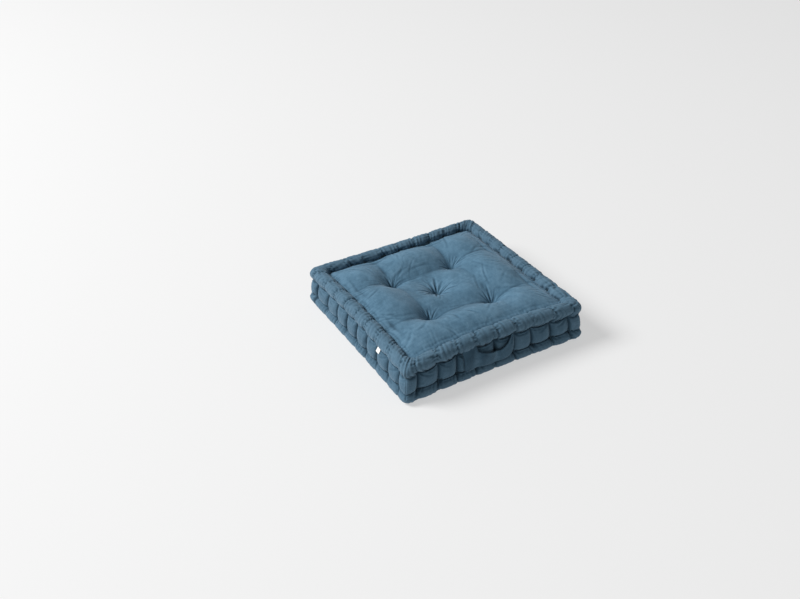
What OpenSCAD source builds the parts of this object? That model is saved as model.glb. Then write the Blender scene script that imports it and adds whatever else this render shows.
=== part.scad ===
// Square tufted floor cushion: a stuffed block with stitched edge rolls round its top and base,
// five tufts tied right through it, a carry strap on the front and a small label on the left side.
// The origin is the middle of the base, on the floor, with +Z up and the front facing -Y.

/* [Cushion] */
// Width and depth over the edge rolls
cushion_w = 450; // [420:10:480]
// Height over the edge rolls
cushion_h = 100; // [95:5:110]
// Diameter of the stuffed edge rolls
roll_d = 30; // [28:1:30]
// Thickness of the cover cloth
cloth = 1.2; // [0.8:0.1:1.4]
// How far the side bands lie inside the outer reach of the rolls
band_inset = 14; // [13:1:15]
// How far the top panel lies below the top of the rolls
panel_drop = 3; // [2:1:4]

/* [Tufts] */
// Distance of the four outer tufts from the middle, along X and along Y
tuft_offset = 78; // [60:1:90]
// Depth of a tuft below the top panel
tuft_depth = 35; // [25:1:38]
// Depth of a tuft above the base panel
base_tuft_depth = 20; // [10:1:22]
// Radius of a tuft's hollow where it meets the panel
tuft_mouth_r = 32; // [24:1:36]
// Radius of the flat floor of a tuft
tuft_floor_r = 5; // [4.5:0.5:7]
// Diameter of the tufting twine
twine_d = 3; // [2:0.5:4]

/* [Edge stitches] */
// Stitches along each side of a roll
side_stitches = 9; // [5:2:9]
// Distance between two stitches
stitch_pitch = 45; // [36:1:45]
// Length of one stitch
stitch_l = 8; // [5:1:8]
// Diameter of the stitching twine
stitch_d = 1.8; // [1.2:0.2:1.8]

/* [Carry strap] */
// Place of the strap's middle along the front
strap_x = -16; // [-20:1:20]
// Width over both ends of the strap
strap_span = 132; // [120:2:140]
// Width of the folded band that the strap is made of
strap_band = 38; // [32:1:40]
// How far the strap hangs below its hinge line
strap_drop = 41; // [36:1:41]
// Thickness of the folded strap
strap_t = 3; // [2:0.5:3]
// Angle at which the strap leans out over the lower roll when it hangs
strap_lean = 10; // [8:1:10]

/* [Label] */
// Width of the label tab
label_w = 14; // [10:1:18]
// Height of the label tab
label_h = 12; // [8:1:14]
// Place of the label's middle along the left side
label_y = -103; // [-110:1:-100]

/* [Hidden] */
SIDES = ["front", "right", "back", "left"];
TUFTS = ["centre", "front_left", "front_right", "back_right", "back_left"];
$fn = 64;

// clearance between two pieces that lie against each other
gap = 0.2;
// clearance of a stitch from the cloth it lies on
lie = 0.05;
// overshoot of a cutting shape past the face it cuts
cut = 1;

reach = cushion_w / 2;
roll_r = roll_d / 2;
roll_line = reach - roll_r;
top_roll_z = cushion_h - roll_r;
base_roll_z = roll_r;

band_y = reach - band_inset;
band_low = roll_d + gap / 2;
band_high = cushion_h - roll_d - gap / 2;

panel_top = cushion_h - panel_drop;
// distance from a roll's line at which its surface reaches a height h above or below that line
function roll_half_width(h) = sqrt(roll_r * roll_r - h * h);
top_panel_half = roll_line - roll_half_width(panel_top - cloth - top_roll_z) - gap;
base_panel_half = roll_line - roll_half_width(base_roll_z - cloth) - gap;

// how far each tuft was tied off its true place, in the order of TUFTS
TUFT_DRIFT = [[-8, 6], [3, 1], [-3, -12], [-4, 0], [-3, 0]];
TUFT_CORNERS = [[0, 0], [-1, -1], [1, -1], [1, 1], [-1, 1]];
TUFT_PLACES = [for (t = [0 : 4]) TUFT_CORNERS[t] * tuft_offset + TUFT_DRIFT[t]];
tuft_floor_z = panel_top - tuft_depth;
tack_r = 1.2;
tack_l = 8;
knot_r = 2.8;

stitch_r = stitch_d / 2;
stitch_first = -(side_stitches - 1) / 2;
// the closing stitches cross the lower seam of the back
closing_count = 15;
closing_pitch = 8;
closing_l = 4;
closing_r = 0.5;

hinge_y = -(band_y + 5.2);
hinge_z = band_high - 2.4;
// height of cloth above the hinge line
strap_lip = 1;
bar_tack_h = 5.5;
bar_tack_t = 0.9;

label_t = 1.2;
label_x = -(band_y + 1.9);
label_hinge_z = band_high - 1;

cover_blue = [0.28, 0.40, 0.48];
filling_white = [0.90, 0.88, 0.82];
twine_blue = [0.20, 0.30, 0.38];
label_white = [0.93, 0.93, 0.91];

// Turns something made on the front side to side i: 0 front, 1 right, 2 back, 3 left
module on_side(i) {
    rotate([0, 0, 90 * i]) children();
}

// Keeps what lies on the front side of both diagonals, so that four sides meet in mitred corners
module mitred() {
    intersection() {
        children();
        translate([0, -gap / 2, -cut])
            linear_extrude(height = cushion_h + 2 * cut)
                polygon([[0, 0], [cushion_w, -cushion_w], [-cushion_w, -cushion_w]]);
    }
}

// A round bar along the front side, at the height z of a roll's line
module side_bar(z, r) {
    translate([0, -roll_line, z])
        rotate([0, 90, 0])
            cylinder(h = 2 * cushion_w, r = r, center = true);
}

// A block centred on the Z axis, from z = low to z = high
module block(half, low, high) {
    translate([-half, -half, low])
        cube([2 * half, 2 * half, high - low]);
}

// The hollow of a tuft, opening upwards from its floor; grow moves its wall outwards
module tuft_hollow(depth, grow) {
    slope = (tuft_mouth_r - tuft_floor_r) / depth;
    translate([0, 0, -grow])
        cylinder(h = depth + grow + cut, r1 = tuft_floor_r + grow,
                 r2 = tuft_mouth_r + grow + slope * (cut + grow));
}

module at_tufts(z) {
    for (p = TUFT_PLACES)
        translate([p[0], p[1], z]) children();
}

// Hollows of the top, cut from above
module top_hollows(grow) {
    at_tufts(tuft_floor_z) tuft_hollow(tuft_depth, grow);
}

// Hollows of the base, cut from below
module base_hollows(grow) {
    at_tufts(base_tuft_depth) mirror([0, 0, 1]) tuft_hollow(base_tuft_depth, grow);
}

// Holes that the tufting twine passes through
module twine_holes() {
    at_tufts(-cut) cylinder(h = cushion_h + 2 * cut, d = twine_d + 2 * gap);
}

module core_filling() {
    color(filling_white) difference() {
        union() {
            block(roll_line - roll_r - gap, cloth + gap, panel_top - cloth - gap);
            block(band_y - cloth - gap, band_low, band_high);
        }
        top_hollows(cloth + gap);
        base_hollows(cloth + gap);
        twine_holes();
    }
}

module top_panel() {
    color(cover_blue) difference() {
        union() {
            block(top_panel_half, panel_top - cloth, panel_top);
            intersection() {
                top_hollows(cloth);
                block(top_panel_half, 0, panel_top);
            }
        }
        top_hollows(0);
        twine_holes();
    }
}

module base_panel() {
    color(cover_blue) difference() {
        union() {
            block(base_panel_half, 0, cloth);
            intersection() {
                base_hollows(cloth);
                block(base_panel_half, 0, cushion_h);
            }
        }
        base_hollows(0);
        twine_holes();
    }
}

module side_band(i) {
    color(cover_blue) on_side(i) mitred()
        translate([-band_y, -band_y, band_low])
            cube([2 * band_y, cloth, band_high - band_low]);
}

module edge_roll(i, z) {
    color(cover_blue) on_side(i) mitred() difference() {
        side_bar(z, roll_r);
        side_bar(z, roll_r - cloth);
    }
}

module roll_filling(i, z) {
    color(filling_white) on_side(i) mitred() side_bar(z, roll_r - cloth - gap);
}

// A twine tied right through the cushion: a tack across the top and a knot under the base
module tuft_tie(place) {
    knot_z = base_tuft_depth - knot_r - lie;
    tack_z = tuft_floor_z + tack_r + lie;
    color(twine_blue) translate([place[0], place[1], 0]) {
        translate([0, 0, knot_z]) cylinder(h = tack_z - knot_z, d = twine_d);
        translate([0, 0, tack_z]) rotate([0, 90, 45]) cylinder(h = tack_l, r = tack_r, center = true);
        translate([0, 0, knot_z]) sphere(r = knot_r);
    }
}

// One row of stitches along every side, at a distance y from the middle and a height z
module stitch_rows(y, z) {
    for (i = [0 : 3], k = [0 : side_stitches - 1])
        on_side(i)
            translate([(stitch_first + k) * stitch_pitch, -y, z])
                rotate([0, 90, 0])
                    cylinder(h = stitch_l, r = stitch_r, center = true);
}

// The twine shows under the top roll on the bands, and inside the roll on the top panel
module top_edge_stitches() {
    color(twine_blue) {
        stitch_rows(band_y + stitch_r + lie, band_high - stitch_r - lie);
        stitch_rows(top_panel_half - stitch_r, panel_top + stitch_r + lie);
    }
}

module base_edge_stitches() {
    color(twine_blue) stitch_rows(band_y + stitch_r + lie, band_low + stitch_r + lie);
}

module closing_stitches() {
    color(twine_blue) for (k = [0 : closing_count - 1])
        translate([(k - (closing_count - 1) / 2) * closing_pitch,
                   band_y + closing_r + lie,
                   band_low + stitch_d + 2 * gap])
            cylinder(h = closing_l, r = closing_r);
}

// Outline of the hanging strap: x along the front, y down from the hinge line as a negative value
module strap_outline() {
    left = strap_x - strap_span / 2;
    right = strap_x + strap_span / 2;
    // the right arm curves up into the seam and narrows as it is gathered there
    outer_run = 44;
    outer_rise = 39;
    gathered_w = 14;
    inner_run = 38;
    inner_drop = 21;
    inner_right = right - gathered_w;
    left_corner = 6;
    polygon(concat(
        [[left, strap_lip], [left, left_corner - strap_drop], [left + left_corner, -strap_drop]],
        [for (a = [0 : 15 : 90])
            [right - outer_run + outer_run * sin(a), outer_rise - strap_drop - outer_rise * cos(a)]],
        [[right, strap_lip]],
        [for (a = [90 : -15 : 0])
            [inner_right - inner_run + inner_run * sin(a), strap_lip - inner_drop * cos(a)]],
        [[left + strap_band, -strap_drop / 4], [left + strap_band, strap_lip]]
    ));
}

module handle_strap() {
    color(cover_blue)
        translate([0, hinge_y, hinge_z])
            rotate([90 - strap_lean, 0, 0])
                linear_extrude(height = strap_t, center = true) strap_outline();
}

// Dense rows of thread that hold the two ends of the strap under the top roll
module handle_bar_tacks() {
    left = strap_x - strap_span / 2;
    right = strap_x + strap_span / 2;
    color(twine_blue) for (ends = [[left + 2, left + strap_band - 2], [right - 12, right - 2]])
        translate([ends[0], -band_y - bar_tack_t - lie, hinge_z - bar_tack_h])
            cube([ends[1] - ends[0], bar_tack_t, bar_tack_h]);
}

module label_tab() {
    color(label_white)
        translate([label_x - label_t / 2, label_y - label_w / 2, label_hinge_z - label_h])
            cube([label_t, label_w, label_h]);
}

core_filling();
top_panel();
base_panel();
for (i = [0 : 3]) {
    side_band(i);
    edge_roll(i, top_roll_z);
    edge_roll(i, base_roll_z);
    roll_filling(i, top_roll_z);
    roll_filling(i, base_roll_z);
}
for (t = [0 : 4])
    tuft_tie(TUFT_PLACES[t]);
top_edge_stitches();
base_edge_stitches();
closing_stitches();
handle_strap();
handle_bar_tacks();
label_tab();
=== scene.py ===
"""Tufted floor cushion: cotton cover, stuffing, twine, carry strap and label.

The cover is one surface, the way it is sewn: a ring (top roll, side band, base roll) and the top panel.
It has a drawn shape, which a cloth simulation then moves. It is cut along its seams into the pieces
that the CAD frame has. The base panel lies flat and is drawn only.
"""
import math

import bpy
import numpy as np
from mathutils import Matrix, Vector


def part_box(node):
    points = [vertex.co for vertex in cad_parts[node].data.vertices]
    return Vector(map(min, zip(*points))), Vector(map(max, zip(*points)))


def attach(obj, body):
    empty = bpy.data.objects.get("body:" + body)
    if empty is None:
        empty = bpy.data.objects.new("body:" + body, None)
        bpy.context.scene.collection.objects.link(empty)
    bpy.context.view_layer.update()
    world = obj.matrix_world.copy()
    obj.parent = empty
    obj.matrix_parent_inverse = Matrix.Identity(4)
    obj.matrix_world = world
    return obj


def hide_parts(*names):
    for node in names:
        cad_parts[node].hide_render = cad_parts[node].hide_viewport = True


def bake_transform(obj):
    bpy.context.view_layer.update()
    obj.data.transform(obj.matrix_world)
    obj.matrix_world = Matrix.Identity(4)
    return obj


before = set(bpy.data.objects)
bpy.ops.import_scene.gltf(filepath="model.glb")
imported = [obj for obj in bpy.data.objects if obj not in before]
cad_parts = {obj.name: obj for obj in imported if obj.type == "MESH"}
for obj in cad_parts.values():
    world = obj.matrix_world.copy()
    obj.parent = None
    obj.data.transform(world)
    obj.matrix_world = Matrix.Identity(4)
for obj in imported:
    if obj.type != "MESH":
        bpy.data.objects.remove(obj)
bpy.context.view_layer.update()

MM = 0.001
SEED = 3
SIDES = ("front", "right", "back", "left")  # -Y, +X, +Y, -X; side i is the front one turned i quarter turns

# ---------------------------------------------------------------- sizes, from the CAD frame
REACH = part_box("top_roll_right")[1].x  # corner of the rolls, from the middle
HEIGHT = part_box("top_roll_front")[1].z
CLOTH = 1.2 * MM

# ---------------------------------------------------------------- the cover's drawn shape
COLUMNS = 132  # cloth columns on each side
PITCH = 45 * MM  # between stitches
STITCHES = range(-4, 5)
PULL_IN = (6 * MM, 7 * MM, 13 * MM, 2 * MM)  # how far each side's middle is drawn in
RISE = (8 * MM, 8 * MM, 6 * MM, 8 * MM)  # how far each side's middle stands above the corners
CORNER_DROP = 4 * MM
TOP_ROLL_R = 17.5 * MM
BASE_ROLL_R = 15.5 * MM
ROLL_INNER, ROLL_OUTER = 170, 68  # degrees round a roll from its level outer side to its two seams
BAND_BULGE, CORNER_BULGE = 7.5 * MM, -2.5 * MM
BASE_OUT = 3.5 * MM  # how far the base rolls stand out past the top ones
TUFTS = np.array([(-8, 6), (-75, -77), (75, -90), (74, 78), (-81, 78)]) * MM
TUFT_Z = 63 * MM
BASE_TUFT_Z = 20 * MM
CROWN = 26 * MM
CROWN_POWER = 5.5  # how squarely the crown falls off towards the seams
# each tuft pit is a steep funnel in a wide bowl, in a still steeper bottom; (centre tuft, outer tufts)
PIT, BOWL, BOWL_SHARE = (32 * MM, 34 * MM), (80 * MM, 50 * MM), (0.45, 0.3)
PIT_FLOOR, BOTTOM, BOTTOM_SHARE = 4 * MM, 7 * MM, 0.12
PUFF = 3.0  # power of the puffs' rounding between two stitches
CORNER_TIGHT = 0.15  # how tightly the corners are drawn in, against 1 for a stitch
TOP_SQUEEZE, BASE_SQUEEZE = 0.22, 0.34  # how much a tight stitch narrows its roll
STITCH_PULL = 15 * MM  # how far the stitches' pull reaches into the panel
VALLEY_R = 25 * MM
VALLEY_ENDS = 22 * MM  # valleys run out this far from the seams
# valleys between the panel's puffs, in mm. From tuft to tuft: depth at both ends, depth half way, and bow.
# From a tuft to the side in some direction: depth at the tuft, and depth at the side.
BETWEEN_TUFTS = ((1, 2, 27, 25, 2), (3, 4, 23, 21, 3), (4, 1, 17, 11, -3), (2, 3, 17, 12, -3))
TO_SIDES = ((1, (-1, 0), 24, 8), (1, (0, -1), 6, 1), (2, (1, 0), 22, 9), (2, (0, -1), 8, 2),
            (3, (0, 1), 23, 10), (3, (1, 0), 17, 6), (4, (0, 1), 21, 10), (4, (-1, 0), 18, 7))
# how strongly each part is held to its drawn place in the simulation, 1 being fixed
GOAL_PANEL, GOAL_VALLEY, GOAL_CREASE = 0.02, 0.05, 0.1
GOAL_ROLL, GOAL_BAND, GOAL_SEAM, GOAL_BASE_SEAM = 0.02, 0.03, 0.2, 0.4
GOAL_BAND_CREASE, GOAL_ROLL_CREASE, GOAL_BASE_CREASE = 0.5, 0.2, 0.3


def turned(x, y, quarter):
    for _ in range(quarter):
        x, y = -y, x
    return x, y


ROWS_TOP, ROWS_BAND, ROWS_BASE = 20, 17, 16
RTI, RTO, RBO = 0, ROWS_TOP, ROWS_TOP + ROWS_BAND  # seam rows: top inner, top outer, base outer
RBI = RBO + ROWS_BASE  # base inner
ROWS = RBI + 1
N = COLUMNS


def section(bow, side):
    """(out, up) of the ring's rows: over the top roll, down the band, round the base roll."""
    top = HEIGHT - CORNER_DROP + RISE[side] * bow
    rt, rb = TOP_ROLL_R - 0.5 * MM * bow, BASE_ROLL_R - 2.5 * MM * bow
    outer_angle = ROLL_OUTER - 26 * (1 - bow) ** 6  # the seams lie shallower at the corners
    t = np.radians(np.linspace(ROLL_INNER, -outer_angle, ROWS_TOP + 1))
    upper = np.stack([rt * np.cos(t) - rt, top - rt + rt * np.sin(t)], 1)
    t = np.radians(np.linspace(outer_angle, -165, ROWS_BASE + 1))
    lower = np.stack([rb * np.cos(t) - rb, np.maximum(rb + rb * np.sin(t), 0)], 1)
    lower[:, 0] += BASE_OUT * (1 - 0.3 * bow)
    s = np.linspace(0, 1, ROWS_BAND + 1)[1:-1, None]
    bulge = BAND_BULGE + CORNER_BULGE * (1 - bow) ** 3
    band = upper[-1] * (1 - s) + lower[0] * s + np.concatenate([bulge * 4 * s * (1 - s), 0 * s], 1)
    return np.concatenate([upper, band, lower])


def contour(f, half, power=34):
    """A point at share f, -1 to 1, along the front of a square with slightly rounded corners."""
    s = 1 / (1 + np.abs(f) ** power) ** (1 / power)
    return f * half * s, -half * s


def border_index(n):
    """For each point of a square grid on its border, its place in the closed border; -1 inside."""
    it, run = -np.ones((n + 1, n + 1), int), np.arange(4 * n)
    it[0, :n], it[0, n] = run[:n], run[n]
    it[:n, n], it[n, n] = run[n:2 * n], run[2 * n]
    it[n, n:0:-1], it[n, 0] = run[2 * n:3 * n], run[3 * n]
    it[n:0:-1, 0] = run[3 * n:]
    return it


def grid_from_border(border):
    """A square grid spanned over a closed border of 4n points."""
    n = len(border) // 4
    g = border[border_index(n)]
    u, v = np.linspace(0, 1, n + 1)[None, :, None], np.linspace(0, 1, n + 1)[:, None, None]
    f = (1 - v) * g[0][None] + v * g[n][None] + (1 - u) * g[:, 0][:, None] + u * g[:, n][:, None]
    f -= (1 - u) * (1 - v) * g[0, 0] + u * (1 - v) * g[0, n] + (1 - u) * v * g[n, 0] + u * v * g[n, n]
    g[1:n, 1:n] = f[1:n, 1:n]
    return g


def cells(knots, tight):
    """How much each ring column is drawn in: its stitch's tightness at a stitch, 0 half way to the next."""
    at = np.arange(4 * N)
    ends = np.concatenate([knots, knots[:1] + 4 * N])
    k = np.searchsorted(ends, np.where(at < ends[0], at + 4 * N, at), side="right") - 1
    t = (np.where(at < ends[0], at + 4 * N, at) - ends[k]) / (ends[k + 1] - ends[k])
    puff = np.maximum(1 - np.abs(2 * t - 1) ** PUFF, 0) ** 0.8
    return (1 - puff) * np.where(t < 0.5, tight[k], np.roll(tight, -1)[k])


def between(p, q, share):
    return p + (q - p) * share


def polar(x, y, centre):
    return np.hypot(x - centre[0], y - centre[1]), np.arctan2(y - centre[1], x - centre[0])


def spoke(d, turn):
    """Beside and along a line from the centre, for points at distance d turned from it; and which lie ahead."""
    off = (turn + math.pi) % (2 * math.pi) - math.pi
    return d * np.sin(off), d * np.cos(off), np.abs(off) < 1


def furrow(side, wide, shoulder):
    """A crease 1 deep with a low shoulder on each side."""
    return np.exp(-(side / wide) ** 2) - shoulder * np.exp(-((np.abs(side) - 2.2 * wide) / (1.2 * wide)) ** 2)


def inset_from(x, y):
    """How far in each point of a square grid lies from the nearest side."""
    return np.maximum(np.minimum(np.minimum(x - x[:, :1], x[:, -1:] - x), np.minimum(y - y[:1], y[-1:] - y)), 0)


def valley(x, y, a, b, bow=0.0):
    """Distance from the line a to b, which bows sideways, and the share of the way along it (0 to 1)."""
    a, b = np.asarray(a), np.asarray(b)
    long = np.linalg.norm(b - a)
    ux, uy = (b - a) / long
    along = ((x - a[0]) * ux + (y - a[1]) * uy) / long
    t = np.clip(along, 0, 1)
    side = (y - a[1]) * ux - (x - a[0]) * uy - bow * 4 * t * (1 - t)
    return np.hypot(side, (along - t) * long), t


def valleys():
    """The lines between puffs: (start, end, bow, depth along it, how sharp it is along it)."""
    for a, b, ends, middle, bow in BETWEEN_TUFTS:
        yield (TUFTS[a], TUFTS[b], bow * MM,
               lambda t, e=ends, m=middle: m + (e - m) * np.abs(2 * t - 1) ** 1.5,
               lambda t: 0.2 + 0.5 * np.abs(2 * t - 1) ** 2)
    for a, way, at_tuft, at_side in TO_SIDES:
        side = np.where(np.array(way) == 0, TUFTS[a], np.array(way) * 0.86 * REACH)
        yield (TUFTS[a], side, 0, lambda t, e=at_tuft, m=at_side: between(e, m, t), lambda t: between(0.7, 0.15, t))


def draw_panel(rng, border, pinched_border):
    """The top panel before and after the stitches pull, its drawn heights, and how strongly they hold."""
    flat, pinched_in = grid_from_border(border), grid_from_border(pinched_border)
    inset = np.minimum(*(np.minimum(flat[..., k] - flat[..., k].min(), flat[..., k].max() - flat[..., k])
                         for k in (0, 1)))
    panel = between(flat, pinched_in, np.exp(-inset / STITCH_PULL)[..., None])
    panel[[0, -1]], panel[:, [0, -1]] = pinched_in[[0, -1]], pinched_in[:, [0, -1]]
    arch = 1 - np.abs(np.linspace(-1, 1, N + 1)) ** CROWN_POWER
    crown = arch[None, :] * arch[:, None] * CROWN
    x, y, z = panel[..., 0], panel[..., 1], panel[..., 2] + crown
    strength, sink = np.full(z.shape, GOAL_PANEL), np.zeros(z.shape)
    for start, end, bow, depth_at, sharp_at in valleys():
        d, t = valley(x, y, start, end, bow)
        sharp = sharp_at(t)
        line = depth_at(t) * MM * between(np.exp(-(d / (1.6 * VALLEY_R)) ** 2), np.exp(-d / VALLEY_R), sharp)
        sink = (sink ** 4 + line ** 4) ** 0.25
        strength = np.maximum(strength, GOAL_VALLEY * np.exp(-(d / (4 * MM)) ** 2) * sharp)
    z -= sink * np.clip(inset / VALLEY_ENDS, 0, 1)
    for n, tuft in enumerate(TUFTS):
        outer = int(n > 0)
        d, way = polar(x, y, tuft)
        depth = z.flat[d.argmin()] - TUFT_Z
        fall = np.maximum(d - PIT_FLOOR, 0)
        steep, wide = np.exp(-fall / PIT[outer]), np.exp(-(d / BOWL[outer]) ** 2)
        z -= depth * (BOTTOM_SHARE * np.exp(-fall / BOTTOM)
                      + (1 - BOTTOM_SHARE) * between(steep, wide, BOWL_SHARE[outer]))
        count = (11, 6)[outer]
        for k in range(count):  # creases that fan out from the tuft
            a = 2 * math.pi * (k + rng.uniform(-0.25, 0.25)) / count
            length = rng.uniform(*((32, 54), (22, 40))[outer]) * MM
            deep = rng.uniform(2.4, 4.2) * MM * (1.25, 1)[outer]
            side, along, ahead = spoke(d, way - a)
            fade = np.clip(1 - along / length, 0, 1) * np.clip(along / (8 * MM), 0, 1) * ahead
            line = np.exp(-(side / (1.4 * MM + 0.03 * d)) ** 2) * fade
            z -= deep * line
            strength = np.maximum(strength, GOAL_CREASE * line)
    return flat, panel, z, strength


def draw_cover():
    """The cover's rest mesh, what each point is drawn towards and how strongly, and its spare cloth."""
    rng = np.random.default_rng(SEED)
    ring, out = np.zeros((ROWS, 4 * N, 3)), np.zeros((4 * N, 3))
    for i in range(4):
        for c in range(N):
            f = -1 + 2 * c / N
            bow = 1 - f * f
            sec = section(bow, i)
            x, y = turned(*contour(f, REACH - PULL_IN[i] * bow + sec[:, 0]), i)
            ring[:, i * N + c] = np.stack([x, y, sec[:, 1]], 1)
            out[i * N + c, :2] = turned(0, -1, i)
        out[i * N, :2] = np.array(turned(-1, -1, i)) / math.sqrt(2)
    idx = np.arange(ROWS * 4 * N).reshape(ROWS, 4 * N)
    it = border_index(N)
    it[1:N, 1:N] = idx.size + np.arange((N - 1) ** 2).reshape(N - 1, N - 1)
    inner = it[1:N, 1:N].ravel()
    nxt = np.roll(idx, -1, 1)
    faces = np.concatenate([
        np.stack([idx[:-1], idx[1:], nxt[1:], nxt[:-1]], -1).reshape(-1, 4),
        np.stack([it[:-1, :-1], it[:-1, 1:], it[1:, 1:], it[1:, :-1]], -1).reshape(-1, 4)])

    # where the stitches are: columns at the inner seam, at the outer seam, and how tight each one is
    pinches, inner_at, outer_at, tight = [], [], [], []
    for i in range(4):
        inner_at.append(i * N)
        outer_at.append(i * N)
        tight.append(CORNER_TIGHT)
        for q in STITCHES:
            x = q * PITCH + rng.uniform(-3, 3) * MM
            slant = int(round(rng.uniform(-0.4, 3.4)))
            inner_at.append(i * N + int(round((x / (0.867 * REACH) + 1) / 2 * N)) + slant)
            outer_at.append(i * N + int(round((x / (0.924 * REACH) + 1) / 2 * N)))
            tight.append(rng.uniform(0.85, 1.15))
            pinches.append((inner_at[-1], outer_at[-1]))
    inner_at, outer_at, tight = np.array(inner_at), np.array(outer_at), np.array(tight)
    pinched = tight * rng.uniform(0.6, 1.5, len(tight))  # how far each stitch draws in the roll itself

    # the drawn shape of the ring: round puffs between the stitches
    drawn = ring.copy()
    middle_top, middle_base = ring[:RTO + 1].mean(0), ring[RBO:].mean(0)
    for r in range(ROWS):
        if r <= RTO:
            knots, middle, squeeze = between(inner_at, outer_at, r / RTO), middle_top, TOP_SQUEEZE
        elif r < RBO:
            continue
        else:
            knots, middle, squeeze = outer_at, middle_base, BASE_SQUEEZE
        d = cells(knots, pinched)[:, None]
        drawn[r] = between(ring[r], middle, squeeze * d)
    at_outer, at_inner = cells(outer_at, tight)[:, None], cells(inner_at, tight)[:, None]
    up = np.array([0, 0, MM])
    share = np.abs(np.tile(-1 + 2 * np.arange(N) / N, 4))  # 0 at the middle of a side, 1 at its corners
    full = BAND_BULGE + CORNER_BULGE * share[:, None] ** 8
    # each seam: how far in and up it lies between stitches (loose, sag) and at a tight stitch (held, lift), in mm
    for row, d, loose, held, sag, lift in ((RTI, at_inner, -1.5, -9, -0.5, -3), (RTO, at_outer, -1, 8, -2.5, 2),
                                           (RBO, at_outer, -0.5, 8.5, -0.5, -1), (RBI, at_outer, -1, -5, 0, 2)):
        drawn[row] = ring[row] - out * between(loose, held, d) * MM + up * between(sag, lift, d)
    for r in range(RTO + 1, RBO):
        s = (r - RTO) / (RBO - RTO)
        belly = (4 * s * (1 - s)) ** 0.6
        drawn[r] = between(drawn[RTO], drawn[RBO], s) + out * belly * between(full, 4.5 * MM, at_outer)
    drawn[..., 2] = np.maximum(drawn[..., 2], 0)

    goal_ring = np.full(idx.shape, GOAL_ROLL)
    goal_ring[RTO + 1:RBO] = GOAL_BAND
    goal_ring[[RTI, RTO, RBO]], goal_ring[RBI] = GOAL_SEAM, GOAL_BASE_SEAM
    for k in range(len(tight)):
        a, b = inner_at[k] % (4 * N), outer_at[k] % (4 * N)
        for row, cc in ((RTI, a), (RTO, b), (RBO, b), (RBI, b)):
            goal_ring[row, cc] = 1
            if tight[k] != CORNER_TIGHT:
                goal_ring[row, (cc + 1) % (4 * N)] = 1
        if tight[k] != CORNER_TIGHT:
            goal_ring[RTO + 1:RBO, b] = GOAL_BAND_CREASE
            for r in range(2, RTO - 1):
                goal_ring[r, int(round(between(a, b, r / RTO))) % (4 * N)] = GOAL_ROLL_CREASE
            goal_ring[RBO + 2:RBI - 1, b] = GOAL_BASE_CREASE

    flat, panel, z, strength = draw_panel(rng, ring[RTI], drawn[RTI])
    x, y = panel[..., 0], panel[..., 1]
    rest = np.concatenate([ring.reshape(-1, 3), flat[1:N, 1:N].reshape(-1, 3)])
    rest[inner, 2] += 0.75 * (z - panel[..., 2])[1:N, 1:N].ravel()
    goal, target = np.zeros(len(rest)), rest.copy()
    goal[idx], target[idx] = goal_ring, drawn
    goal[inner] = strength[1:N, 1:N].ravel()
    target[inner] = np.stack([x, y, z], 2)[1:N, 1:N].reshape(-1, 3)
    for cx, cy in TUFTS:
        for v in inner[np.hypot(rest[inner, 0] - cx, rest[inner, 1] - cy) < 5 * MM]:
            near = (rest[v, :2] - (cx, cy)) * 0.45
            goal[v], target[v] = 1.0, (cx + near[0], cy + near[1], TUFT_Z)

    spare = np.zeros(len(rest))  # share of extra cloth, less at the corners
    spare[idx] = 0.05 + 0.10 * np.clip((1 - share) / 0.10, 0, 1)
    spare[idx[RTO:RBO]] = 0.02 + 0.04 * np.clip((1 - share) / 0.10, 0, 1)
    nearest = np.hypot(rest[inner, None, 0] - TUFTS[:, 0], rest[inner, None, 1] - TUFTS[:, 1]).min(1)
    spare[inner] = 0.03 + 0.07 * np.exp(-(nearest / (26 * MM)) ** 2)
    free = np.full(len(rest), 0.7)  # how far each point follows the simulation away from the drawn shape
    free[idx] = np.interp(np.arange(ROWS), (0, RTO - 2, RTO + 3, RBO - 3, RBO, RBI),
                          (0.8, 0.7, 0.35, 0.35, 0.4, 0.5))[:, None]
    return dict(rest=rest, faces=faces, goal=goal, target=target, spare=spare, free=free, idx=idx, it=it,
                out=out, pinches=pinches)


# ---------------------------------------------------------------- the cloth simulation
FRAMES, DRAWN_BY = 24, 12  # frames run, and the frame by which the stitches are drawn tight
STUFFING_PRESSURE = 140
MOST_MOVED = 22 * MM  # cap on how far a point may end from its drawn place
SMOOTHING = 14  # passes over the panel's movement away from tufts and seams


def group(obj, name, values):
    made = obj.vertex_groups.new(name=name)
    values = np.round(values, 3)
    for value in np.unique(values):
        if value > 0:
            made.add(np.nonzero(values == value)[0].tolist(), float(value), "REPLACE")


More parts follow.
